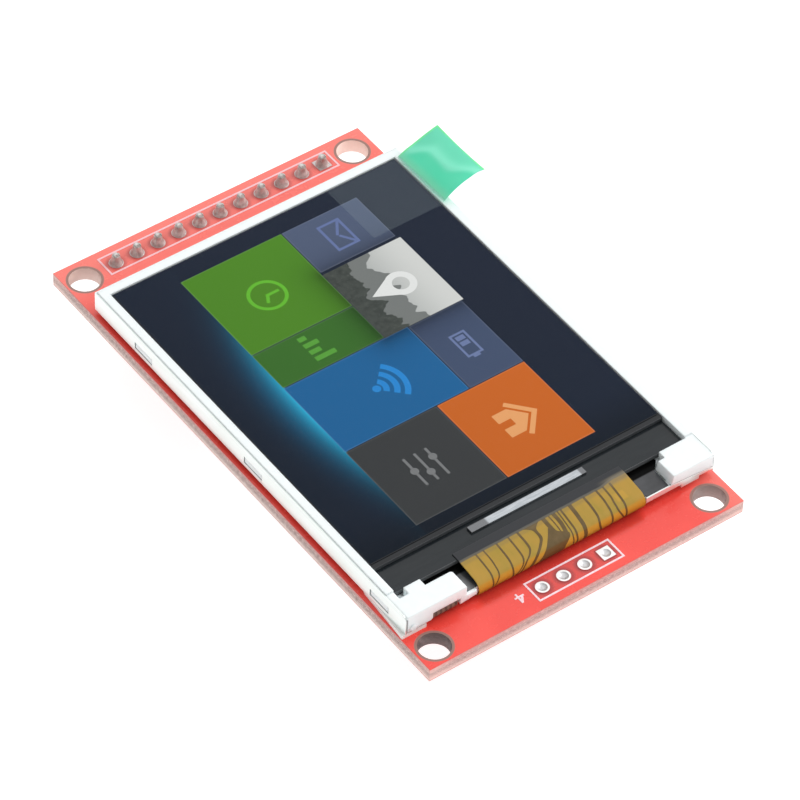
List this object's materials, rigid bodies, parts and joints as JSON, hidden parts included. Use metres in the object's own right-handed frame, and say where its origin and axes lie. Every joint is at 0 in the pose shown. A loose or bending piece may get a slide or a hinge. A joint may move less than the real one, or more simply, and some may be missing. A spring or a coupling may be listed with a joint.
{
  "type": "tft display module",
  "caption": "Small colour TFT screen on a red circuit board with corner mounting holes, a pin header, a memory card socket and a green pull tab.",
  "frame": {"origin": "centre of the rectangle of mounting holes, on the underside of the circuit board", "axes": "+Z out of the screen along the mounting holes; +Y along the board's long side, from the small four-pad row to the pin header; +X along the short side"},
  "size_m": [0.0414, 0.0634, 0.0153],
  "materials": {
    "board": "glossy red solder mask over glass-epoxy laminate",
    "silk_ink": "matt white legend ink",
    "tinned_land": "tinned copper",
    "bright_land": "bright tinned copper",
    "solder": "satin solder",
    "header_plastic": "matt black moulding",
    "gold_plate": "gold-flashed brass",
    "joint_solder": "uneven satin solder",
    "foam_tape": "white double-sided foam tape",
    "tray_steel": "plated thin steel",
    "frame_plastic": "bright white moulding",
    "reflector_foil": "silvered film",
    "clear_acrylic": "clear moulding",
    "amber_flex": "amber polyimide",
    "led_body": "white package with yellow phosphor",
    "dark_tape": "glossy dark grey tape",
    "diffuser_film": "matt white film",
    "prism_film": "finely ribbed clear film",
    "black_tape": "black light-shielding tape",
    "polarizer_film": "dark film",
    "ledge_glass": "glass with a dark matrix",
    "filter_glass": "glass with a dark matrix",
    "screen": "glossy lit screen",
    "clear_film": "clear film",
    "green_tab": "translucent mint green film",
    "silicon": "polished bare silicon",
    "socket_plastic": "matt black moulding",
    "socket_steel": "plated sheet steel",
    "chip_epoxy": "matt black epoxy",
    "lead_tin": "tinned lead",
    "cap_ceramic": "fired brown ceramic with tinned ends",
    "res_ceramic": "black coated ceramic with tinned ends"
  },
  "bodies": {
    "root": {"circuit_board": "board", "silkscreen": "silk_ink", "header_pads": "tinned_land", "card_row_pads": "bright_land", "card_row_solder": "solder", "header_housing": "header_plastic", "header_pins": "gold_plate", "header_solder": "joint_solder", "adhesive_strips": "foam_tape", "metal_tray": "tray_steel", "plastic_frame": "frame_plastic", "reflector": "reflector_foil", "light_guide": "clear_acrylic", "led_flex": "amber_flex", "leds": "led_body", "led_cover_tape": "dark_tape", "diffuser": "diffuser_film", "lower_prism_sheet": "prism_film", "upper_prism_sheet": "prism_film", "rim_tape": "black_tape", "rear_polarizer": "polarizer_film", "tft_glass": "ledge_glass", "color_filter_glass": "filter_glass", "front_polarizer": "screen", "protective_film": "clear_film", "pull_tab": "green_tab", "driver_chip": "silicon", "main_flex": "amber_flex", "flex_solder": "solder", "socket_base": "socket_plastic", "socket_shell": "socket_steel", "socket_contacts": "gold_plate", "component_pads": "solder", "regulator": "chip_epoxy", "regulator_leads": "lead_tin", "transistor": "chip_epoxy", "transistor_leads": "lead_tin", "capacitors": "cap_ceramic", "resistors": "res_ceramic"}
  },
  "joints": []
}
